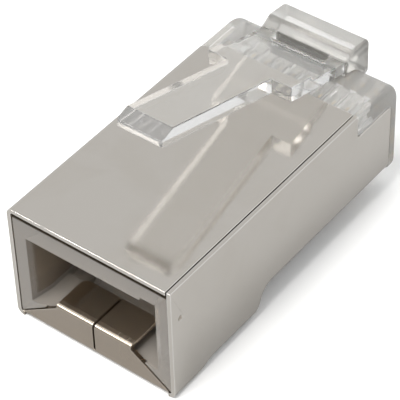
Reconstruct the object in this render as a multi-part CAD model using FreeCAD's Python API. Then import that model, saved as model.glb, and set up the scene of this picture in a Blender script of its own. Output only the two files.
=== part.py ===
"""Shielded eight-way modular plug: clear moulded housing, folded metal shield, sprung latch, gold blades.

Millimetres. X runs across the plug, +Y from the cable mouth to the nose, +Z from the contact side
to the latch side. While it is modelled, Y is measured from the mouth and Z from the shield's foot.
The origin of the finished part is the middle of its box, on the surface that the foot stands on.
"""
import FreeCAD, Part
import math
import os

Vector = FreeCAD.Vector

# ---- overall body
plug_width = 11.68
plug_height = 8.45
body_length = 22.3          # mouth edge to the nose face
nose_base = 1.6             # height of the comb and the nose above the foot
margin = 1.0                # how far a cutter runs past what it cuts
overlap = 0.1               # how far joined shapes run into each other
near = 1e-3                 # tolerance for picking edges

# ---- shield, one folded sheet
sheet = 0.28
bend_radius = 0.45          # outside radius of its long folds
seam_gap = 0.08             # open seam between the top and the right wall
nose_length = 4.45          # bare nose past the end of the top and of the full-height walls
top_length = body_length - nose_length
wing_setback = 0.9          # nose past the end of the low side wings
side_length = body_length - wing_setback
wing_height = 6.75          # top of the side wings
wing_corner = 0.3
foot_length = 2.6
foot_ramp = 0.9
belly_base = 0.3            # height of the belly behind the foot
belly_end = 8.1             # where the belly starts to step up to the front
step_run = 0.65
front_base = 1.75           # underside of the shield at the front
soft_fold = 0.9             # radius of the folds along the belly line
window_length = 7.7         # window under the contacts and the nose
window_start = body_length - window_length
window_half = 4.75
window_corner = 0.5
dimple_radius = 0.22
dimple_depth = 0.1
dimple_y = 0.8
dimple_z = 6.0

# ---- flaps, folded up across the mouth and in over the floor
flap_foot_half = 5.35
flap_top_half = 2.73
flap_top = 2.45
flap_rise = 0.4             # where the slanted ends of the flaps start
flap_reach = 2.65
flap_slit = 0.14
flap_corner = 0.45
flap_fold = 0.32            # outside radius of the fold along the top of the flaps

# ---- housing
side_fit = 0.04             # gap between the housing and the shield
top_fit = 0.3               # gap under the shield's top
face_setback = 0.08         # mouth face of the housing behind the shield's edge
wing_fit = 0.06             # gap round the side wings
comb_fit = 0.12             # gap round the comb in the shield's window
flap_fit = 0.06             # gap round the flaps
nose_drop = 0.05            # top of the nose under the top of the shield
nose_top = plug_height - nose_drop
nose_round = 1.5
nose_chin = 0.55
nose_edge = 0.45
mouth_half = 4.65
mouth_throat = 4.35         # half width of the cavity behind its lead-in
lead_in = 1.5
mouth_floor = 1.6
mouth_ceiling = 6.6
ceiling_notch = 0.25        # relief in the ceiling at the right of the mouth
notch_width = 1.1
sill_length = 3.1           # floor under the flaps
cavity_floor = 1.25
cavity_corner = 0.3
ramp_start = 7.4            # the floor rises from here to the wire channels
cavity_end = 10.4
relief_half = 2.9           # strain relief bar in the floor
relief_start = 3.6
relief_end = 7.1
relief_top = 1.95
relief_gap = 0.3
relief_web = 0.35

# ---- contacts and wire channels
ways = 8
pitch = 1.02
blade_thickness = 0.35
blade_fit = 0.02
blade_length = 4.4
blade_setback = 1.0         # front end of the blades behind the nose face
blade_end = body_length - blade_setback
blade_start = blade_end - blade_length
blade_foot = 1.4
blade_shoulder = 3.75
blade_tip = 4.4
blade_corner = 0.4
blade_heel = 0.6
tine_count = 3
tine_half = 0.3
tine_stagger = 0.35         # the tines of every other blade stand this much further back
slot_flare = 0.26           # half width of the mouth of each slot
flare_depth = 0.4
nose_slot_top = 3.6
wire_radius = 0.5
wire_height = 4.95
wire_stop = 1.1             # plastic left past the end of each wire channel
wire_end = body_length - wire_stop

# ---- latch and the block that carries it
block_half = 3.1
block_length = 1.85         # of the block over the nose, up to the nose face
block_rear = body_length - block_length
block_rise = 1.45           # top of the block over the nose
block_top = nose_top + block_rise
block_reach = 0.8           # how far the block stands out past the nose face
block_hang = 1.4            # the block's front hangs this far below the nose's top
block_chin = nose_top - block_hang
block_slope = 0.85          # length of the slanted rear of the block
block_step = 0.45           # its drop
block_round = 0.25
block_edge = 0.2
latch_half = 3.0
flex_rise = 0.55            # the latch bends this far above the nose
flex_height = nose_top + flex_rise
latch_thickness = 0.76
flex_fit = 0.04
latch_rise = 0.28           # rise of the plate for each millimetre towards the mouth
lever_rise = 0.305
latch_reach = 5.35          # bending line to the locking faces of the shoulders
shoulder_y = block_rear - latch_reach
shoulder_length = 2.0
shoulder_lift = 0.3
lever_half = 1.6
lever_length = 10.15        # locking faces to the end of the lever
lever_tip = shoulder_y - lever_length
bevel_length = 1.05         # slanted end of the lever
bevel_drop = 0.62
tip_taper = 0.12
slot_half = 2.0             # slot that thins the root of the latch to two straps
slot_length = 0.65
slot_corner = 0.2
pit_depth = 1.2             # pit in the nose under the slot
latch_round = 0.15          # rounding of the shoulders and the tip
bevel_round = 0.25
step_foot = 0.25            # run of the step up to the shoulders

overall_length = body_length + block_reach
half_width = plug_width / 2


# ---- shapes from profiles

def corner(before, point, after):
    """Tangent points and middle of the arc that rounds one corner of an outline."""
    radius = point[2]
    here = Vector(point[0], point[1], 0)
    back = (Vector(before[0], before[1], 0) - here).normalize()
    ahead = (Vector(after[0], after[1], 0) - here).normalize()
    half_angle = back.getAngle(ahead) / 2
    reach = radius / math.tan(half_angle)
    middle = here + (back + ahead).normalize() * (radius / math.sin(half_angle) - radius)
    return here + back * reach, middle, here + ahead * reach


def outline(points, place):
    """Closed wire through (a, b, radius) points; place turns a flat point into a point in space."""
    stops = []
    count = len(points)
    for i, point in enumerate(points):
        if len(point) > 2 and point[2] > 0:
            stops.append([place(p) for p in corner(points[i - 1], point, points[(i + 1) % count])])
        else:
            stops.append([place(Vector(point[0], point[1], 0))])
    edges = []
    for i, stop in enumerate(stops):
        if len(stop) == 3:
            edges.append(Part.Arc(*stop).toShape())
        ahead = stops[(i + 1) % count][0]
        if (ahead - stop[-1]).Length > near:
            edges.append(Part.LineSegment(stop[-1], ahead).toShape())
    return Part.Wire(edges)


def bar_x(points, low, high):
    """Side profile, (y, z, radius) points, pulled across the plug."""
    wire = outline(points, lambda p: Vector(low, p.x, p.y))
    return Part.Face(wire).extrude(Vector(high - low, 0, 0))


def bar_y(points, low, high):
    """Cross-section, (x, z, radius) points, pulled along the plug."""
    wire = outline(points, lambda p: Vector(p.x, low, p.y))
    return Part.Face(wire).extrude(Vector(0, high - low, 0))


def bar_z(points, low, high):
    """Plan, (x, y, radius) points, pulled upwards."""
    wire = outline(points, lambda p: Vector(p.x, p.y, low))
    return Part.Face(wire).extrude(Vector(0, 0, high - low))


def box(x0, x1, y0, y1, z0, z1):
    return Part.makeBox(x1 - x0, y1 - y0, z1 - z0, Vector(x0, y0, z0))


def rod_x(y, z, radius, x0, x1):
    return Part.makeCylinder(radius, x1 - x0, Vector(x0, y, z), Vector(1, 0, 0))


def rod_y(x, z, radius, y0, y1):
    return Part.makeCylinder(radius, y1 - y0, Vector(x, y0, z), Vector(0, 1, 0))


def fillet(shape, radius, wanted):
    return shape.makeFillet(radius, [edge for edge in shape.Edges if wanted(edge.BoundBox)])


def belly_line(depth, y0, y1):
    """Underside of the plug from y0 to y1, depth inside the shield's outer face."""
    nodes = [(y0, 0.0), (foot_length, 0.0), (foot_length + foot_ramp, belly_base),
             (belly_end, belly_base), (belly_end + step_run, front_base), (y1, front_base)]
    angles = [math.atan2(b[1] - a[1], b[0] - a[0]) for a, b in zip(nodes, nodes[1:])]
    path = [(y0, depth)]
    for i in range(1, len(nodes) - 1):
        turn = angles[i] - angles[i - 1]
        bisector = (angles[i] + angles[i - 1]) / 2 + math.pi / 2
        reach = depth / math.cos(turn / 2)
        radius = soft_fold - math.copysign(depth, turn)
        path.append((nodes[i][0] + reach * math.cos(bisector),
                     nodes[i][1] + reach * math.sin(bisector), radius))
    path.append((y1, front_base + depth))
    return path


# ---- shield

def tube(depth, top, radius, y0, y1):
    """Solid that fills the shield to a depth inside its outer face, with its long edges rounded."""
    half = half_width - depth
    solid = bar_x(belly_line(depth, y0, y1) + [(y1, top), (y0, top)], -half, half)

    def folded(bounds):
        along_wall = bounds.XLength < near and abs(abs(bounds.XMin) - half) < near
        low = along_wall and bounds.ZMax < front_base + depth + near
        upper_left = along_wall and bounds.XMin < 0 and bounds.ZMin > top - near
        return low or upper_left
    return fillet(solid, radius, folded)


def flap_front(gap, y0, y1):
    """Front outline of the flaps, grown by a gap, pulled along the plug."""
    foot = flap_foot_half + gap
    top = flap_top_half + gap
    shoulder = flap_top - sheet + gap
    over = flap_top + gap if gap else flap_top + margin
    return bar_y([(-foot, -margin), (foot, -margin), (foot, flap_rise), (top, shoulder), (top, over),
                  (-top, over), (-top, shoulder), (-foot, flap_rise)], y0, y1)


def flaps():
    """Bottom sheet turned up across the mouth and in over the floor, slit in the middle."""
    run = bend_radius + sheet
    strip = bar_x([(run, 0), (0, 0, bend_radius), (0, flap_top, flap_fold), (flap_reach, flap_top),
                   (flap_reach, flap_top - sheet), (sheet, flap_top - sheet, flap_fold - sheet),
                   (sheet, sheet, bend_radius - sheet), (run, sheet)], -flap_foot_half, flap_foot_half)
    strip = strip.common(flap_front(0, -margin, flap_reach + margin))

    def inner_end(bounds):
        return bounds.YMin > flap_reach - near and bounds.XLength < near
    strip = fillet(strip, flap_corner, inner_end)
    return strip.cut(box(-flap_slit / 2, flap_slit / 2, -margin, flap_reach + margin,
                         bend_radius, flap_top + margin))


def make_shield():
    shell = tube(0.0, plug_height, bend_radius, 0.0, side_length)
    shell = shell.cut(tube(sheet, plug_height - sheet, bend_radius - sheet, -margin, side_length + margin))
    wall = half_width - sheet
    seam = box(wall - seam_gap, wall, -margin, side_length + margin,
               plug_height - 2 * sheet, plug_height + margin)
    past = side_length + margin
    over = plug_height + margin
    front = bar_x([(top_length, over), (top_length, wing_height, wing_corner), (past, wing_height),
                   (past, over)], -half_width - margin, half_width + margin)
    window = bar_z([(-window_half, window_start, window_corner), (window_half, window_start, window_corner),
                    (window_half, past), (-window_half, past)], -margin, front_base + 2 * sheet)
    mouth = box(-flap_foot_half, flap_foot_half, -margin, bend_radius + sheet, -margin, 2 * sheet)
    shell = shell.cut([seam, front, window, mouth]).fuse(flaps()).removeSplitter()

    def wing_end(bounds):
        return bounds.YMin > side_length - near and bounds.ZMin > wing_height - near
    shell = fillet(shell, wing_corner, wing_end)
    ball = (dimple_radius ** 2 + dimple_depth ** 2) / (2 * dimple_depth)
    return shell.cut(Part.makeSphere(ball, Vector(half_width - dimple_depth + ball, dimple_y, dimple_z)))


# ---- housing

def way_x(index):
    """Place across the plug of contact and channel number index, from 0."""
    return (index - (ways - 1) / 2) * pitch


def body_block():
    """Moulding inside the shield, the comb between the contacts and the bare nose."""
    nose_start = top_length + wing_fit
    flange_start = side_length + wing_fit
    body = tube(sheet + side_fit, plug_height - sheet - top_fit, bend_radius - sheet,
                face_setback, flange_start)
    comb_half = window_half - comb_fit
    comb_start = window_start + comb_fit
    comb = bar_z([(-comb_half, comb_start, window_corner), (comb_half, comb_start, window_corner),
                  (comb_half, flange_start), (-comb_half, flange_start)], nose_base, mouth_ceiling)
    low = wing_height + wing_fit
    nose = bar_x([(nose_start, low, wing_corner), (nose_start, nose_top),
                  (body_length, nose_top, nose_round), (body_length, nose_base, nose_chin),
                  (flange_start, nose_base), (flange_start, low, wing_corner)], -half_width, half_width)

    def outer(bounds):
        return bounds.XLength < near and (bounds.YMax > body_length - near or bounds.ZMin > nose_top - near)
    return body.fuse([comb, fillet(nose, nose_edge, outer)])


def cable_cavity():
    """Space for the cable: the mouth, its lead-in and the ramp up to the wire channels."""
    low = wire_height - wire_radius
    high = wire_height + wire_radius
    side = bar_x([(0, mouth_floor), (sill_length, mouth_floor), (sill_length, cavity_floor, cavity_corner),
                  (ramp_start, cavity_floor, cavity_corner), (cavity_end, low), (cavity_end, high),
                  (cavity_end - lead_in, mouth_ceiling), (0, mouth_ceiling)], -half_width, half_width)
    plan = bar_z([(-mouth_half, 0), (mouth_half, 0), (mouth_half, face_setback), (mouth_throat, lead_in),
                  (mouth_throat, cavity_end), (-mouth_throat, cavity_end), (-mouth_throat, lead_in),
                  (-mouth_half, face_setback)], 0, plug_height)
    notch = box(mouth_half - notch_width, half_width, 0, lead_in, mouth_ceiling - margin,
                mouth_ceiling + ceiling_notch)
    return side.fuse(notch).common(plan)


def strain_relief():
    """Wedge bar in the floor, held by a thin web at its mouth side, that a crimp tool pushes in."""
    low = belly_base + sheet + side_fit
    web_start = relief_start - relief_gap - overlap
    web_low = cavity_floor - relief_web
    return bar_x([(web_start, web_low), (relief_start, web_low), (relief_start + relief_gap, low),
                  (relief_end, low), (relief_end, relief_top, relief_gap),
                  (relief_start + 2 * relief_gap, relief_top, relief_gap), (relief_start, cavity_floor),
                  (web_start, cavity_floor)], -relief_half, relief_half)


def contact_slots():
    """Slots that hold the blades, flared at the bottom and open through the nose face."""
    cutters = []
    half = blade_thickness / 2 + blade_fit
    for index in range(ways):
        x = way_x(index)
        cutters.append(box(x - half, x + half, blade_start - blade_fit, blade_end + blade_fit,
                           nose_base - margin, wire_height))
        cutters.append(box(x - slot_flare, x + slot_flare, blade_start - blade_fit, body_length + margin,
                           nose_base - margin, nose_base + flare_depth))
        cutters.append(box(x - slot_flare, x + slot_flare, blade_end, body_length + margin,
                           nose_base - margin, nose_slot_top))
        cutters.append(rod_y(x, wire_height, wire_radius, cavity_end - margin, wire_end))
    return cutters


def latch_block():
    """Ridge on the nose that carries the latch, hollowed for the two rounded ends of its straps."""
    rear_top = block_top - block_step
    ridge = bar_x([(block_rear, nose_top - nose_edge), (block_rear, rear_top),
                   (block_rear + block_slope, block_top, block_round),
                   (overall_length, block_top - block_step / 2, 2 * block_round),
                   (overall_length, block_chin, block_round), (body_length - nose_edge, block_chin)],
                  -block_half, block_half)

    def top_side(bounds):
        return (bounds.XLength < near and bounds.ZMin > rear_top - near
                and bounds.YMax > block_rear + near)
    ridge = fillet(ridge, block_edge, top_side)
    groove = latch_thickness / 2 + flex_fit
    inner = slot_half - flex_fit
    outer = latch_half + flex_fit
    return ridge.cut([rod_x(block_rear, flex_height, groove, -outer, -inner),
                      rod_x(block_rear, flex_height, groove, inner, outer)])


def make_housing():
    body = body_block().cut([cable_cavity(), flap_front(flap_fit, -margin, sheet + flap_fit)])
    window = box(-relief_half - relief_gap, relief_half + relief_gap, relief_start - relief_gap,
                 relief_end + relief_gap, 0, cavity_floor + overlap)
    pit = box(-slot_half, slot_half, block_rear - slot_length, block_rear,
              nose_top - pit_depth, nose_top + margin)
    body = body.cut([window, pit]).fuse(strain_relief()).fuse(latch_block())
    return body.cut(contact_slots()).removeSplitter()


# ---- contacts

def make_contact(index):
    """Flat blade with a rounded foot and pointed tines along its top."""
    shift = tine_stagger if index % 2 else 0.0
    points = [(blade_start, blade_foot, blade_corner), (blade_end, blade_foot, blade_heel),
              (blade_end, blade_shoulder)]
    room = blade_end - blade_start - tine_stagger
    step = room / tine_count
    for number in range(tine_count):
        middle = blade_end - tine_stagger + shift - step * (number + 0.5)
        points += [(middle + tine_half, blade_shoulder), (middle, blade_tip),
                   (middle - tine_half, blade_shoulder)]
    points.append((blade_start, blade_shoulder))
    left = way_x(index) - blade_thickness / 2
    return bar_x(points, left, left + blade_thickness)


# ---- latch

def latch_line(y):
    """Height of the plate's top at y, before its shoulders."""
    lift = latch_thickness / 2 * math.sqrt(1 + latch_rise ** 2)
    return flex_height + lift + (block_rear - y) * latch_rise


def make_latch():
    radius = latch_thickness / 2
    slope = math.atan(latch_rise)
    # the plate's two faces are tangent to the rounded root
    top_root = (block_rear + radius * math.sin(slope), flex_height + radius * math.cos(slope))
    low_root = (block_rear - radius * math.sin(slope), flex_height - radius * math.cos(slope))
    drop = 2 * radius * math.sqrt(1 + latch_rise ** 2)
    shoulder_top = latch_line(shoulder_y) + shoulder_lift
    rear = shoulder_y + shoulder_length
    plate = bar_x([top_root, (rear + step_foot, latch_line(rear + step_foot)),
                   (rear, latch_line(rear) + shoulder_lift, latch_round), (shoulder_y, shoulder_top),
                   (shoulder_y, latch_line(shoulder_y) - drop), low_root], -latch_half, latch_half)
    plate = plate.fuse(rod_x(block_rear, flex_height, radius, -latch_half, latch_half))
    slot = bar_z([(-slot_half, block_rear - slot_length, slot_corner),
                  (slot_half, block_rear - slot_length, slot_corner),
                  (slot_half, block_rear + margin), (-slot_half, block_rear + margin)],
                 flex_height - margin, flex_height + 2 * margin)
    plate = plate.cut(slot)
    start = shoulder_y + shoulder_length / 2
    lever_thickness = shoulder_lift + drop      # its underside runs on from the plate's
    lever_top = shoulder_top + (shoulder_y - lever_tip) * lever_rise
    start_top = shoulder_top - (start - shoulder_y) * latch_rise
    bevel_y = lever_tip + bevel_length
    lever = bar_x([(start, start_top), (shoulder_y, shoulder_top),
                   (bevel_y, lever_top - bevel_length * lever_rise, bevel_round),
                   (lever_tip, lever_top - bevel_drop, latch_round),
                   (lever_tip, lever_top - lever_thickness, latch_round),
                   (shoulder_y, shoulder_top - lever_thickness), (start, start_top - lever_thickness)],
                  -latch_half, latch_half)
    taper_end = lever_tip + 2 * tip_taper
    plan = bar_z([(-lever_half + tip_taper, lever_tip), (lever_half - tip_taper, lever_tip),
                  (lever_half, taper_end), (lever_half, start), (-lever_half, start),
                  (-lever_half, taper_end)], flex_height, 2 * plug_height)
    return plate.fuse(lever.common(plan)).removeSplitter()


# ---- files

def save(name, shape):
    """Writes one sub-part, moved from the mouth to the part's own origin."""
    shape = shape.copy()
    shape.translate(Vector(0, -overall_length / 2, 0))
    shape.exportStep("parts/" + name + ".step")
    print(name, "solids", len(shape.Solids), "valid", shape.isValid(), "volume", round(shape.Volume, 3))


os.makedirs("parts", exist_ok=True)
save("housing", make_housing())
save("shield", make_shield())
save("latch", make_latch())
for number in range(ways):
    save("contact_" + str(number + 1), make_contact(number))
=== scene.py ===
import math

import bmesh
import bpy
from mathutils import Matrix, Vector
from mathutils.bvhtree import BVHTree


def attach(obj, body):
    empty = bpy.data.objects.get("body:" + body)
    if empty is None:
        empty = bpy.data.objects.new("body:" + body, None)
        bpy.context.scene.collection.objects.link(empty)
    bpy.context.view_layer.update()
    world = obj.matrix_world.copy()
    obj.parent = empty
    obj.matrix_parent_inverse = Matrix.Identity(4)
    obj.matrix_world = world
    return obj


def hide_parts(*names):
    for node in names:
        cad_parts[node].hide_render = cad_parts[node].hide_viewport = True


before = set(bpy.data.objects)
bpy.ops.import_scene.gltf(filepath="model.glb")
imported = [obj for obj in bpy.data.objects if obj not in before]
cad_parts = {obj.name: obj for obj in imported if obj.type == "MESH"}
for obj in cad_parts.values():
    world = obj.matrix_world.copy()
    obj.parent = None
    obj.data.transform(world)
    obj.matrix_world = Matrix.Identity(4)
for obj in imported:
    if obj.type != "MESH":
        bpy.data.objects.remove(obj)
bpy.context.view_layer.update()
print("frame loaded:", len(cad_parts), "nodes")

mm = 0.001
scene = bpy.context.scene


# small helpers for node trees

def addNode(tree, kind, values=None, **settings):
    node = tree.nodes.new(kind)
    for name, value in settings.items():
        setattr(node, name, value)
    for name, value in (values or {}).items():
        node.inputs[name].default_value = value
    return node


def link(tree, *pairs):
    for source, target in pairs:
        tree.links.new(source, target)


def newGroup(name, inputs, outputs):
    # inputs: name -> (socket type, default); outputs: name -> socket type
    tree = bpy.data.node_groups.new(name, "ShaderNodeTree")
    for label, (kind, value) in inputs.items():
        socket = tree.interface.new_socket(name=label, in_out="INPUT", socket_type=kind)
        socket.default_value = value
    for label, kind in outputs.items():
        tree.interface.new_socket(name=label, in_out="OUTPUT", socket_type=kind)
    return tree, tree.nodes.new("NodeGroupInput"), tree.nodes.new("NodeGroupOutput")


def newMaterial(name, sockets):
    material = bpy.data.materials.new(name)
    material.use_nodes = True
    tree = material.node_tree
    shader = tree.nodes["Principled BSDF"]
    for label, value in sockets.items():
        shader.inputs[label].default_value = value
    return material, tree, shader


def useGroup(tree, group, values=None):
    node = tree.nodes.new("ShaderNodeGroup")
    node.node_tree = group
    for label, value in (values or {}).items():
        node.inputs[label].default_value = value
    return node


# effects that several materials share

effects = {
    "blotchDetail": 5.0, "blotchRoughness": 0.62, "blotchTwist": 0.6, "blotchFrom": 0.42, "blotchTo": 0.66,
    "scratchTurn": 7, "scratchDetail": 2.0, "scratchRoughness": 0.4, "edgeSamples": 6,
}


def makeHandlingGroup(look):
    # soft blotches left by handling, and the dust that settles in them
    tree, given, made = newGroup("handling", {
        "Vector": ("NodeSocketVector", (0.0, 0.0, 0.0)),
        "Size": ("NodeSocketFloat", 400.0),
        "Amount": ("NodeSocketFloat", 0.5),
    }, {"Mask": "NodeSocketFloat"})
    broad = addNode(tree, "ShaderNodeTexNoise", {
        "Detail": look["blotchDetail"], "Roughness": look["blotchRoughness"], "Distortion": look["blotchTwist"]})
    edge = addNode(tree, "ShaderNodeMapRange", {"From Min": look["blotchFrom"], "From Max": look["blotchTo"]})
    scale = addNode(tree, "ShaderNodeMath", operation="MULTIPLY")
    link(tree, (given.outputs["Vector"], broad.inputs["Vector"]), (given.outputs["Size"], broad.inputs["Scale"]),
         (broad.outputs["Fac"], edge.inputs["Value"]), (edge.outputs["Result"], scale.inputs[0]),
         (given.outputs["Amount"], scale.inputs[1]), (scale.outputs["Value"], made.inputs["Mask"]))
    return tree


def makeScratchGroup(look):
    # hairline scratches along the piece, thin where the noise crosses its middle
    tree, given, made = newGroup("scratches", {
        "Vector": ("NodeSocketVector", (0.0, 0.0, 0.0)),
        "Along": ("NodeSocketFloat", 60.0),
        "Across": ("NodeSocketFloat", 2600.0),
        "Width": ("NodeSocketFloat", 0.02),
    }, {"Mask": "NodeSocketFloat"})
    stretch = addNode(tree, "ShaderNodeCombineXYZ")
    slant = math.radians(look["scratchTurn"])
    turn = addNode(tree, "ShaderNodeVectorRotate", {"Angle": slant}, rotation_type="Z_AXIS")
    pull = addNode(tree, "ShaderNodeVectorMath", operation="MULTIPLY")
    lines = addNode(tree, "ShaderNodeTexNoise", {
        "Scale": 1.0, "Detail": look["scratchDetail"], "Roughness": look["scratchRoughness"]})
    off = addNode(tree, "ShaderNodeMath", {1: 0.5}, operation="SUBTRACT")  # the middle of the noise
    size = addNode(tree, "ShaderNodeMath", operation="ABSOLUTE")
    thin = addNode(tree, "ShaderNodeMapRange", {"From Min": 0.0, "To Min": 1.0, "To Max": 0.0})
    link(tree, (given.outputs["Vector"], turn.inputs["Vector"]), (turn.outputs["Vector"], pull.inputs[0]),
         (given.outputs["Across"], stretch.inputs["X"]), (given.outputs["Along"], stretch.inputs["Y"]),
         (given.outputs["Across"], stretch.inputs["Z"]), (stretch.outputs["Vector"], pull.inputs[1]),
         (pull.outputs["Vector"], lines.inputs["Vector"]), (lines.outputs["Fac"], off.inputs[0]),
         (off.outputs["Value"], size.inputs[0]), (size.outputs["Value"], thin.inputs["Value"]),
         (given.outputs["Width"], thin.inputs["From Max"]), (thin.outputs["Result"], made.inputs["Mask"]))
    return tree


def makeEdgeGroup(look):
    # 1 on the rounded edges, where the surface turns within a short reach
    tree, given, made = newGroup("edges", {
        "Radius": ("NodeSocketFloat", 0.00005),
        "Gain": ("NodeSocketFloat", 3.0),
    }, {"Mask": "NodeSocketFloat"})
    eased = addNode(tree, "ShaderNodeBevel", samples=look["edgeSamples"])
    plain = addNode(tree, "ShaderNodeNewGeometry")
    dot = addNode(tree, "ShaderNodeVectorMath", operation="DOT_PRODUCT")
    turn = addNode(tree, "ShaderNodeMath", {0: 1.0}, operation="SUBTRACT")
    gain = addNode(tree, "ShaderNodeMath", operation="MULTIPLY", use_clamp=True)
    link(tree, (given.outputs["Radius"], eased.inputs["Radius"]), (eased.outputs["Normal"], dot.inputs[0]),
         (plain.outputs["Normal"], dot.inputs[1]), (dot.outputs["Value"], turn.inputs[1]),
         (turn.outputs["Value"], gain.inputs[0]), (given.outputs["Gain"], gain.inputs[1]),
         (gain.outputs["Value"], made.inputs["Mask"]))
    return tree


def makeRegionGroup():
    # 1 inside a box given by its middle and half size, fading over a short run at its sides
    tree, given, made = newGroup("region", {
        "Vector": ("NodeSocketVector", (0.0, 0.0, 0.0)),
        "Middle": ("NodeSocketVector", (0.0, 0.0, 0.0)),
        "Half": ("NodeSocketVector", (1.0, 1.0, 1.0)),
        "Fade": ("NodeSocketFloat", 0.0001),
    }, {"Mask": "NodeSocketFloat"})
    shift = addNode(tree, "ShaderNodeVectorMath", operation="SUBTRACT")
    size = addNode(tree, "ShaderNodeVectorMath", operation="ABSOLUTE")
    room = addNode(tree, "ShaderNodeVectorMath", operation="SUBTRACT")
    split = addNode(tree, "ShaderNodeSeparateXYZ")
    least = [addNode(tree, "ShaderNodeMath", operation="MINIMUM") for _ in range(2)]
    soft = addNode(tree, "ShaderNodeMapRange", interpolation_type="SMOOTHSTEP")
    link(tree, (given.outputs["Vector"], shift.inputs[0]), (given.outputs["Middle"], shift.inputs[1]),
         (shift.outputs["Vector"], size.inputs[0]), (given.outputs["Half"], room.inputs[0]),
         (size.outputs["Vector"], room.inputs[1]), (room.outputs["Vector"], split.inputs["Vector"]),
         (split.outputs["X"], least[0].inputs[0]), (split.outputs["Y"], least[0].inputs[1]),
         (least[0].outputs["Value"], least[1].inputs[0]), (split.outputs["Z"], least[1].inputs[1]),
         (least[1].outputs["Value"], soft.inputs["Value"]), (given.outputs["Fade"], soft.inputs["From Max"]),
         (soft.outputs["Result"], made.inputs["Mask"]))
    return tree


handling = makeHandlingGroup(effects)
scratches = makeScratchGroup(effects)
edges = makeEdgeGroup(effects)
region = makeRegionGroup()
print("shared effects built")


# the finishes

sheetLook = {
    "colour": (0.60, 0.565, 0.52, 1), "wornAndHighlight": (0.95, 0.93, 0.90, 1), "dusty": (0.965, 0.96, 0.95, 1), "index": 2.0,
    "roughness": 0.09, "dullRoughness": 0.15, "spotSize": 240.0, "edgeRadius": 0.00007, "edgeGain": 9.0,
    # painted shade: the flaps and the dimple are darker and browner, and the flaps are also rougher
    "paintedShadeTone": (0.64, 0.59, 0.535, 1), "flapRoughness": 0.12,
    "flapMiddle": (0.0, -0.0114, 0.0012), "flapHalf": (0.00545, 0.0004, 0.00135),
    "dimpleMiddle": (0.00584, -0.01075, 0.006), "dimpleHalf": (0.0003, 0.0002, 0.0002), "dimpleFade": 0.00012,
    # the inside, which little light reaches, gets painted shade, and the tops of the flaps a lighter tone, a painted
    # light
    "inside": (0.86, 0.78, 0.70, 1), "insideMiddle": (0.0, -0.00715, 0.00438),
    "insideHalf": (0.0057, 0.00425, 0.00393), "insideFade": 0.00006,
    "plate": (0.98, 0.88, 0.76, 1), "plateMiddle": (0.0, -0.01005, 0.00245),
    "plateHalf": (0.0031, 0.00132, 0.00015), "fade": 0.00005,
    "scratchAlong": 90.0, "scratchAcross": 2400.0, "scratchWidth": 0.012, "scratchRoughness": 0.03,
    "grainAlong": 900.0, "grainAcross": 9000.0, "grainDetail": 3.0, "grainDepth": 0.02, "grainReach": 0.00002,
    "wave": 130.0, "waveDepth": 0.03, "waveReach": 0.0002,
}


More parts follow.
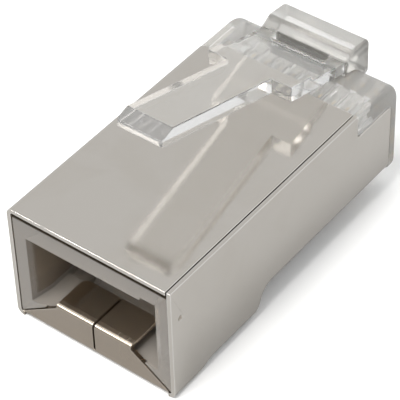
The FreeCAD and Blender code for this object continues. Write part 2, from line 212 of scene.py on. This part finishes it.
def makeSheetMaterial(look):
    material, tree, shader = newMaterial("nickelSheet", {"Metallic": 1.0, "IOR": look["index"]})
    place = addNode(tree, "ShaderNodeTexCoord")
    spots = useGroup(tree, handling, {"Size": look["spotSize"], "Amount": 1.0})
    lines = useGroup(tree, scratches, {
        "Along": look["scratchAlong"], "Across": look["scratchAcross"], "Width": look["scratchWidth"]})
    rim = useGroup(tree, edges, {"Radius": look["edgeRadius"], "Gain": look["edgeGain"]})
    flap = useGroup(tree, region, {"Middle": look["flapMiddle"], "Half": look["flapHalf"], "Fade": look["fade"]})
    dimple = useGroup(tree, region, {
        "Middle": look["dimpleMiddle"], "Half": look["dimpleHalf"], "Fade": look["dimpleFade"]})
    inside = useGroup(tree, region, {
        "Middle": look["insideMiddle"], "Half": look["insideHalf"], "Fade": look["insideFade"]})
    shaded = addNode(tree, "ShaderNodeMix", data_type="RGBA", blend_type="MULTIPLY")
    shaded.inputs["B"].default_value = look["inside"]
    # painted light: a lighter tone laid over the tops of the flaps
    plate = useGroup(tree, region, {"Middle": look["plateMiddle"], "Half": look["plateHalf"], "Fade": look["fade"]})
    paintedPlateLight = addNode(tree, "ShaderNodeMix", data_type="RGBA")
    paintedPlateLight.inputs["B"].default_value = look["plate"]
    # painted shade on the flaps and in the dimple, multiplied into the colour; the flaps also get more roughness
    darker = addNode(tree, "ShaderNodeMath", operation="MAXIMUM")
    dull = addNode(tree, "ShaderNodeMath", {1: look["flapRoughness"]}, operation="MULTIPLY_ADD")
    brown = addNode(tree, "ShaderNodeMix", data_type="RGBA", blend_type="MULTIPLY")
    brown.inputs["B"].default_value = look["paintedShadeTone"]
    # rolling grain runs along the sheet
    stretch = addNode(tree, "ShaderNodeMapping")
    stretch.inputs["Scale"].default_value = (look["grainAcross"], look["grainAlong"], look["grainAcross"])
    grain = addNode(tree, "ShaderNodeTexNoise", {"Scale": 1.0, "Detail": look["grainDetail"]})
    wave = addNode(tree, "ShaderNodeTexNoise", {"Scale": look["wave"], "Detail": 1.0})
    rough = addNode(tree, "ShaderNodeMapRange", {"To Min": look["roughness"], "To Max": look["dullRoughness"]})
    scored = addNode(tree, "ShaderNodeMath", {1: look["scratchRoughness"]}, operation="MULTIPLY_ADD")
    # the rounded edges are lighter: worn metal and a painted highlight
    wearAndHighlight = addNode(tree, "ShaderNodeMix", data_type="RGBA")
    wearAndHighlight.inputs["A"].default_value = look["colour"]
    wearAndHighlight.inputs["B"].default_value = look["wornAndHighlight"]
    tint = addNode(tree, "ShaderNodeMix", data_type="RGBA", blend_type="MULTIPLY")
    tint.inputs["B"].default_value = look["dusty"]
    grainBump = addNode(tree, "ShaderNodeBump", {"Strength": look["grainDepth"], "Distance": look["grainReach"]})
    waveBump = addNode(tree, "ShaderNodeBump", {"Strength": look["waveDepth"], "Distance": look["waveReach"]})
    objectAt = place.outputs["Object"]
    link(tree, (objectAt, spots.inputs["Vector"]), (objectAt, lines.inputs["Vector"]),
         (objectAt, stretch.inputs["Vector"]), (objectAt, wave.inputs["Vector"]),
         (stretch.outputs["Vector"], grain.inputs["Vector"]), (spots.outputs["Mask"], rough.inputs["Value"]),
         (lines.outputs["Mask"], scored.inputs[0]), (rough.outputs["Result"], scored.inputs[2]),
         (objectAt, flap.inputs["Vector"]), (objectAt, dimple.inputs["Vector"]),
         (flap.outputs["Mask"], darker.inputs[0]), (dimple.outputs["Mask"], darker.inputs[1]),
         (flap.outputs["Mask"], dull.inputs[0]), (scored.outputs["Value"], dull.inputs[2]),
         (dull.outputs["Value"], shader.inputs["Roughness"]), (rim.outputs["Mask"], wearAndHighlight.inputs["Factor"]),
         (wearAndHighlight.outputs["Result"], tint.inputs["A"]), (spots.outputs["Mask"], tint.inputs["Factor"]),
         (tint.outputs["Result"], brown.inputs["A"]), (darker.outputs["Value"], brown.inputs["Factor"]),
         (objectAt, inside.inputs["Vector"]), (inside.outputs["Mask"], shaded.inputs["Factor"]),
         (brown.outputs["Result"], shaded.inputs["A"]), (shaded.outputs["Result"], paintedPlateLight.inputs["A"]),
         (objectAt, plate.inputs["Vector"]), (plate.outputs["Mask"], paintedPlateLight.inputs["Factor"]),
         (paintedPlateLight.outputs["Result"], shader.inputs["Base Color"]),
         (wave.outputs["Fac"], waveBump.inputs["Height"]),
         (waveBump.outputs["Normal"], grainBump.inputs["Normal"]), (grain.outputs["Fac"], grainBump.inputs["Height"]),
         (grainBump.outputs["Normal"], shader.inputs["Normal"]))
    return material


plasticLook = {
    "spotSize": 320.0, "edgeRadius": 0.00005, "edgeGain": 3.0, "fade": 0.00008,
    "flow": 220.0, "flowDetail": 2.0, "flowTwist": 1.2, "flowDepth": 0.05, "flowReach": 0.0001,
}
# a shade is the middle, the half size and the tone of a place that gets less light
noseLook = dict(
    plasticLook, colour=(0.895, 0.885, 0.86, 1), cloudy=(0.84, 0.83, 0.81, 1), transmission=0.78, index=1.40,
    roughness=0.05, dullRoughness=0.10,
    frost=0.12, frostMiddle=(0, 0.0093, 0.0091), frostHalf=(0.0032, 0.0007, 0.0011),
    shades=[((0, 0.0089, 0.0085), (0.00195, 0.0002, 0.001), (0.155, 0.15, 0.14, 1)),
            ((0, 0.0093, 0.0097), (0.003, 0.0005, 0.0005), (0.60, 0.59, 0.575, 1)),
            ((0.0031, 0.0102, 0.0092), (0.00018, 0.0014, 0.0018), (0.66, 0.65, 0.63, 1))])
mouthLook = dict(
    plasticLook, colour=(0.79, 0.735, 0.67, 1), cloudy=(0.86, 0.84, 0.80, 1), transmission=0.74, index=1.40,
    roughness=0.08, dullRoughness=0.16,
    frost=0.06, frostMiddle=(0, -0.0113, 0.005), frostHalf=(0.006, 0.0003, 0.005),
    shades=[((0, -0.0111, 0.0079), (0.0055, 0.0006, 0.00012), (0.16, 0.14, 0.12, 1)),
            ((0, -0.006, 0.0041), (0.0046, 0.0053, 0.0022), (0.68, 0.60, 0.51, 1))])
leverLook = dict(
    plasticLook, colour=(0.985, 0.98, 0.97, 1), cloudy=(0.90, 0.895, 0.885, 1), transmission=0.975, index=1.36,
    roughness=0.03, dullRoughness=0.07, flow=200.0, flowDepth=0.04,
    frost=0.25, frostMiddle=(0, 0.0086, 0.0088), frostHalf=(0.0033, 0.0006, 0.0011), shades=[])
tipLook = dict(leverLook, colour=(0.975, 0.955, 0.93, 1), transmission=0.85, roughness=0.10, dullRoughness=0.16)


def makeClearMaterial(name, look):
    material, tree, shader = newMaterial(name, {
        "Metallic": 0.0, "Transmission Weight": look["transmission"], "IOR": look["index"]})
    place = addNode(tree, "ShaderNodeTexCoord")
    spots = useGroup(tree, handling, {"Size": look["spotSize"], "Amount": 1.0})
    rim = useGroup(tree, edges, {"Radius": look["edgeRadius"], "Gain": look["edgeGain"]})
    flow = addNode(tree, "ShaderNodeTexNoise", {
        "Scale": look["flow"], "Detail": look["flowDetail"], "Distortion": look["flowTwist"]})
    rough = addNode(tree, "ShaderNodeMapRange", {"To Min": look["roughness"], "To Max": look["dullRoughness"]})
    band = useGroup(tree, region, {"Middle": look["frostMiddle"], "Half": look["frostHalf"], "Fade": look["fade"]})
    frost = addNode(tree, "ShaderNodeMath", {1: look["frost"]}, operation="MULTIPLY_ADD")
    cloud = addNode(tree, "ShaderNodeMix", data_type="RGBA")
    cloud.inputs["A"].default_value = look["colour"]
    cloud.inputs["B"].default_value = look["cloudy"]
    bump = addNode(tree, "ShaderNodeBump", {"Strength": look["flowDepth"], "Distance": look["flowReach"]})
    objectAt = place.outputs["Object"]
    link(tree, (objectAt, spots.inputs["Vector"]), (objectAt, flow.inputs["Vector"]),
         (objectAt, band.inputs["Vector"]), (band.outputs["Mask"], frost.inputs[0]),
         (spots.outputs["Mask"], rough.inputs["Value"]), (rough.outputs["Result"], frost.inputs[2]),
         (frost.outputs["Value"], shader.inputs["Roughness"]),
         (rim.outputs["Mask"], cloud.inputs["Factor"]), (flow.outputs["Fac"], bump.inputs["Height"]),
         (bump.outputs["Normal"], shader.inputs["Normal"]))
    # slots and hollows, where little light gets in
    colour = cloud.outputs["Result"]
    for middle, half, tone in look["shades"]:
        hollow = useGroup(tree, region, {"Middle": middle, "Half": half, "Fade": look["fade"]})
        shade = addNode(tree, "ShaderNodeMix", data_type="RGBA", blend_type="MULTIPLY")
        shade.inputs["B"].default_value = tone
        link(tree, (objectAt, hollow.inputs["Vector"]), (hollow.outputs["Mask"], shade.inputs["Factor"]),
             (colour, shade.inputs["A"]))
        colour = shade.outputs["Result"]
    link(tree, (colour, shader.inputs["Base Color"]))
    return material


goldLook = {
    "colour": (0.83, 0.58, 0.22, 1), "wornAndHighlight": (0.90, 0.70, 0.38, 1), "roughness": 0.16, "dullRoughness": 0.32,
    "spotSize": 900.0, "edgeRadius": 0.00004, "edgeGain": 3.0,
    "scratchAlong": 400.0, "scratchAcross": 9000.0, "scratchWidth": 0.03, "scratchDepth": 0.1, "scratchReach": 0.00001,
}


def makeGoldMaterial(look):
    material, tree, shader = newMaterial("goldPlate", {"Metallic": 1.0})
    place = addNode(tree, "ShaderNodeTexCoord")
    spots = useGroup(tree, handling, {"Size": look["spotSize"], "Amount": 1.0})
    lines = useGroup(tree, scratches, {
        "Along": look["scratchAlong"], "Across": look["scratchAcross"], "Width": look["scratchWidth"]})
    rim = useGroup(tree, edges, {"Radius": look["edgeRadius"], "Gain": look["edgeGain"]})
    rough = addNode(tree, "ShaderNodeMapRange", {"To Min": look["roughness"], "To Max": look["dullRoughness"]})
    wearAndHighlight = addNode(tree, "ShaderNodeMix", data_type="RGBA")
    wearAndHighlight.inputs["A"].default_value = look["colour"]
    wearAndHighlight.inputs["B"].default_value = look["wornAndHighlight"]
    bump = addNode(tree, "ShaderNodeBump", {"Strength": look["scratchDepth"], "Distance": look["scratchReach"]})
    objectAt = place.outputs["Object"]
    link(tree, (objectAt, spots.inputs["Vector"]), (objectAt, lines.inputs["Vector"]),
         (spots.outputs["Mask"], rough.inputs["Value"]), (rough.outputs["Result"], shader.inputs["Roughness"]),
         (rim.outputs["Mask"], wearAndHighlight.inputs["Factor"]), (wearAndHighlight.outputs["Result"], shader.inputs["Base Color"]),
         (lines.outputs["Mask"], bump.inputs["Height"]), (bump.outputs["Normal"], shader.inputs["Normal"]))
    return material


nickelSheet = makeSheetMaterial(sheetLook)
clearNose = makeClearMaterial("clearNose", noseLook)
clearMouth = makeClearMaterial("clearMouth", mouthLook)
clearLever = makeClearMaterial("clearLever", leverLook)
rubbedTip = makeClearMaterial("rubbedTip", tipLook)
goldPlate = makeGoldMaterial(goldLook)
print("materials built")


# the pieces

meshCare = {"merge": 0.0005, "flat": 0.5, "sharp": 50, "evenWeight": 100}  # millimetres, degrees, percent


def markSharp(mesh):
    mesh.shade_smooth()
    mesh.set_sharp_from_angle(angle=math.radians(meshCare["sharp"]))


def mergedCopy(node):
    # one closed mesh of the node in millimetres, with its flat faces whole
    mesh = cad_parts[node].data.copy()
    mesh.transform(Matrix.Scale(1 / mm, 4))
    shape = bmesh.new()
    shape.from_mesh(mesh)
    bmesh.ops.remove_doubles(shape, verts=shape.verts, dist=meshCare["merge"])
    bmesh.ops.dissolve_limit(shape, angle_limit=math.radians(meshCare["flat"]), verts=shape.verts, edges=shape.edges)
    shape.to_mesh(mesh)
    shape.free()
    mesh.materials.clear()
    markSharp(mesh)
    return mesh


def evaluatedMesh(piece):
    graph = bpy.context.evaluated_depsgraph_get()
    return bpy.data.meshes.new_from_object(piece.evaluated_get(graph), preserve_all_data_layers=True, depsgraph=graph)


def pullBack(rounded, mesh, reach):
    # where an edge is shorter than its rounding, the rounding overshoots: those corners go back onto the surface
    corners = [corner.co for corner in mesh.vertices]
    surface = BVHTree.FromPolygons(corners, [face.vertices for face in mesh.polygons])
    count = 0
    for corner in rounded.vertices:
        nearest, _, _, gap = surface.find_nearest(corner.co)
        if gap > reach:
            corner.co = nearest
            count += 1
    return count


def softenedPiece(name, mesh, rounding, material):
    # rounds the sharp edges by a hair, as moulding and tumbling do, then brings the mesh to metres
    rough = bpy.data.objects.new(name + "Rough", mesh)
    scene.collection.objects.link(rough)
    bevel = rough.modifiers.new("round", "BEVEL")
    bevel.width = rounding["width"]
    bevel.segments = rounding["segments"]
    bevel.limit_method = "ANGLE"
    bevel.angle_limit = math.radians(rounding["angle"])
    bevel.use_clamp_overlap = rounding["clamp"]
    rounded = evaluatedMesh(rough)
    pulled = pullBack(rounded, mesh, rounding["width"] / 2)
    rough.modifiers.clear()
    rough.data = rounded
    even = rough.modifiers.new("even", "WEIGHTED_NORMAL")
    even.weight = meshCare["evenWeight"]
    even.keep_sharp = True
    done = evaluatedMesh(rough)
    bpy.data.objects.remove(rough)
    done.transform(Matrix.Scale(mm, 4))
    done.name = name
    done.materials.clear()
    done.materials.append(material)
    piece = bpy.data.objects.new(name, done)
    scene.collection.objects.link(piece)
    print(name, len(done.polygons), "faces,", pulled, "corners pulled back")
    return piece


def finishBefore(piece, end, material):
    # the faces on the mouth's side of the line get a finish of their own
    piece.data.materials.append(material)
    for face in piece.data.polygons:
        if face.center.y < end:
            face.material_index = 1


shieldShape = {"width": 0.018, "segments": 2, "angle": 35, "clamp": False}
housingShape = {"width": 0.04, "segments": 2, "angle": 35, "clamp": True, "mouthEnd": -0.001}
latchShape = {"width": 0.05, "segments": 2, "angle": 35, "clamp": True, "tipEnd": -0.0056}
bladeShape = {"width": 0.02, "segments": 2, "angle": 35, "clamp": True}
contactRowShape = {"pair": ("contact_1", "contact_2"), "pairs": 4, "pitch": 0.00102}

shieldSkin = softenedPiece("shieldSkin", mergedCopy("shield"), shieldShape, nickelSheet)
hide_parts("shield")
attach(shieldSkin, "plug")

clearBody = softenedPiece("clearBody", mergedCopy("housing"), housingShape, clearNose)
finishBefore(clearBody, housingShape["mouthEnd"], clearMouth)
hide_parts("housing")
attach(clearBody, "plug")

latchLever = softenedPiece("latchLever", mergedCopy("latch"), latchShape, clearLever)
finishBefore(latchLever, latchShape["tipEnd"], rubbedTip)
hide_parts("latch")
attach(latchLever, "latch")


def makeRowTree(inPair):
    # every other blade stands further back, so it is the pair that repeats across the plug
    tree = bpy.data.node_groups.new("contactRow", "GeometryNodeTree")
    sockets = {}
    for label, kind in (("Pair", "NodeSocketGeometry"), ("Pairs", "NodeSocketInt"), ("Pitch", "NodeSocketFloat"),
                        ("Finish", "NodeSocketMaterial")):
        sockets[label] = tree.interface.new_socket(name=label, in_out="INPUT", socket_type=kind)
    tree.interface.new_socket(name="Row", in_out="OUTPUT", socket_type="NodeSocketGeometry")
    given, made = tree.nodes.new("NodeGroupInput"), tree.nodes.new("NodeGroupOutput")
    step = addNode(tree, "ShaderNodeMath", {1: float(inPair)}, operation="MULTIPLY")
    offset = tree.nodes.new("ShaderNodeCombineXYZ")
    places = addNode(tree, "GeometryNodeMeshLine", mode="OFFSET")
    copies = tree.nodes.new("GeometryNodeInstanceOnPoints")
    whole = tree.nodes.new("GeometryNodeRealizeInstances")
    finish = tree.nodes.new("GeometryNodeSetMaterial")
    link(tree, (given.outputs["Pitch"], step.inputs[0]), (step.outputs["Value"], offset.inputs["X"]),
         (given.outputs["Pairs"], places.inputs["Count"]), (offset.outputs["Vector"], places.inputs["Offset"]),
         (places.outputs["Mesh"], copies.inputs["Points"]), (given.outputs["Pair"], copies.inputs["Instance"]),
         (copies.outputs["Instances"], whole.inputs["Geometry"]),
         (whole.outputs["Geometry"], finish.inputs["Geometry"]), (given.outputs["Finish"], finish.inputs["Material"]),
         (finish.outputs["Geometry"], made.inputs["Row"]))
    return tree, {label: socket.identifier for label, socket in sockets.items()}


def makeContactRow(look, material):
    pair = bmesh.new()
    for node in look["pair"]:
        pair.from_mesh(mergedCopy(node))
    mesh = bpy.data.meshes.new("bladePair")
    pair.to_mesh(mesh)
    pair.free()
    markSharp(mesh)
    row = softenedPiece("contactRow", mesh, bladeShape, material)
    tree, names = makeRowTree(len(look["pair"]))
    repeat = row.modifiers.new("row", "NODES")
    repeat.node_group = tree
    repeat[names["Pairs"]] = look["pairs"]
    repeat[names["Pitch"]] = look["pitch"]
    repeat[names["Finish"]] = material
    whole = evaluatedMesh(row)
    row.modifiers.remove(repeat)
    row.data = whole
    whole.name = "contactRow"
    print("contactRow", len(whole.polygons), "faces")
    return row


contactRow = makeContactRow(contactRowShape, goldPlate)
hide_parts(*[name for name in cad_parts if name.startswith("contact_")])
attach(contactRow, "plug")
print("pieces built")


# floor, lights and camera

stageLook = {
    "floor": (0.50, 0.505, 0.51, 1), "shown": (0.95, 0.95, 0.95, 1), "paperRoughness": 0.9, "paperGloss": 0.1,
    "size": 3.0, "drop": 0.00002, "world": 1.0, "low": (0.79, 0.80, 0.805, 1), "high": (1.0, 1.0, 0.995, 1),
    "climbFrom": 0.72, "climbTo": 0.95,
}


def makeStage(look):
    half = look["size"] / 2
    mesh = bpy.data.meshes.new("floor")
    mesh.from_pydata([(-half, -half, 0), (half, -half, 0), (half, half, 0), (-half, half, 0)], [], [(0, 1, 2, 3)])
    floor = bpy.data.objects.new("floor", mesh)
    floor.location.z = -look["drop"]
    scene.collection.objects.link(floor)
    material, tree, shader = newMaterial("floorPaper", {
        "Roughness": look["paperRoughness"], "Specular IOR Level": look["paperGloss"]})
    # the paper looks white, and throws back less, as if it ended just outside the view
    ray = addNode(tree, "ShaderNodeLightPath")
    paper = addNode(tree, "ShaderNodeMix", data_type="RGBA")
    paper.inputs["A"].default_value = look["floor"]
    paper.inputs["B"].default_value = look["shown"]
    link(tree, (ray.outputs["Is Camera Ray"], paper.inputs["Factor"]),
         (paper.outputs["Result"], shader.inputs["Base Color"]))
    mesh.materials.append(material)
    world = bpy.data.worlds.new("studio")
    world.use_nodes = True
    tree = world.node_tree
    back = tree.nodes["Background"]
    back.inputs["Strength"].default_value = look["world"]
    # the room is brighter overhead than round the sides
    place = addNode(tree, "ShaderNodeTexCoord")
    split = addNode(tree, "ShaderNodeSeparateXYZ")
    climb = addNode(tree, "ShaderNodeMapRange", {"From Min": look["climbFrom"], "From Max": look["climbTo"]})
    mix = addNode(tree, "ShaderNodeMix", data_type="RGBA")
    mix.inputs["A"].default_value = look["low"]
    mix.inputs["B"].default_value = look["high"]
    link(tree, (place.outputs["Generated"], split.inputs["Vector"]), (split.outputs["Z"], climb.inputs["Value"]),
         (climb.outputs["Result"], mix.inputs["Factor"]), (mix.outputs["Result"], back.inputs["Color"]))
    scene.world = world


def makeLight(name, place, aim, size, power, colour):
    data = bpy.data.lights.new(name, "AREA")
    data.shape = "RECTANGLE"
    data.size, data.size_y = size
    data.energy = power
    data.color = colour
    lamp = bpy.data.objects.new(name, data)
    lamp.location = place
    lamp.rotation_euler = (Vector(aim) - Vector(place)).to_track_quat("-Z", "Y").to_euler()
    scene.collection.objects.link(lamp)


lights = {
    "softKey": {"place": (-0.03, -0.15, 0.33), "aim": (0, 0, 0), "size": (0.16, 0.16), "power": 1.1,
                "colour": (1.0, 0.99, 0.97)},
    "lowStrip": {"place": (-0.16, -0.20, 0.24), "aim": (0, 0, 0.01), "size": (0.06, 0.06), "power": 0.16,
                 "colour": (1.0, 0.99, 0.97)},
    "softFill": {"place": (0.16, 0.20, 0.24), "aim": (0, 0, 0), "size": (0.16, 0.16), "power": 0.045,
                 "colour": (0.99, 0.99, 1.0)},
}
cameraView = {
    "azimuth": 38.7, "elevation": 43.34, "roll": -1.96, "distance": 0.12342, "target": (0.0001, -0.00155, 0.00463),
    "lens": 189.4, "sensor": 36, "near": 0.001, "far": 10,
}
lightPaths = {"max_bounces": 20, "transmission_bounces": 20, "glossy_bounces": 8}


def makeCamera(look):
    across, up = math.radians(look["azimuth"]), math.radians(look["elevation"])
    back = Vector((math.sin(across) * math.cos(up), -math.cos(across) * math.cos(up), math.sin(up)))
    right = Vector((math.cos(across), math.sin(across), 0))
    rise = back.cross(right)
    roll = math.radians(look["roll"])
    axisX = right * math.cos(roll) + rise * math.sin(roll)
    axisY = rise * math.cos(roll) - right * math.sin(roll)
    data = bpy.data.cameras.new("camera")
    data.lens = look["lens"]
    data.sensor_width = look["sensor"]
    data.clip_start = look["near"]
    data.clip_end = look["far"]
    camera = bpy.data.objects.new("camera", data)
    place = Vector(look["target"]) + back * look["distance"]
    camera.matrix_world = Matrix.Translation(place) @ Matrix((axisX, axisY, back)).transposed().to_4x4()
    scene.collection.objects.link(camera)
    scene.camera = camera


makeStage(stageLook)
for name, look in lights.items():
    makeLight(name, look["place"], look["aim"], look["size"], look["power"], look["colour"])
makeCamera(cameraView)
scene.view_settings.view_transform = "Standard"
for name, value in lightPaths.items():
    setattr(scene.cycles, name, value)  # light passes many clear walls in this plug
print("stage built")
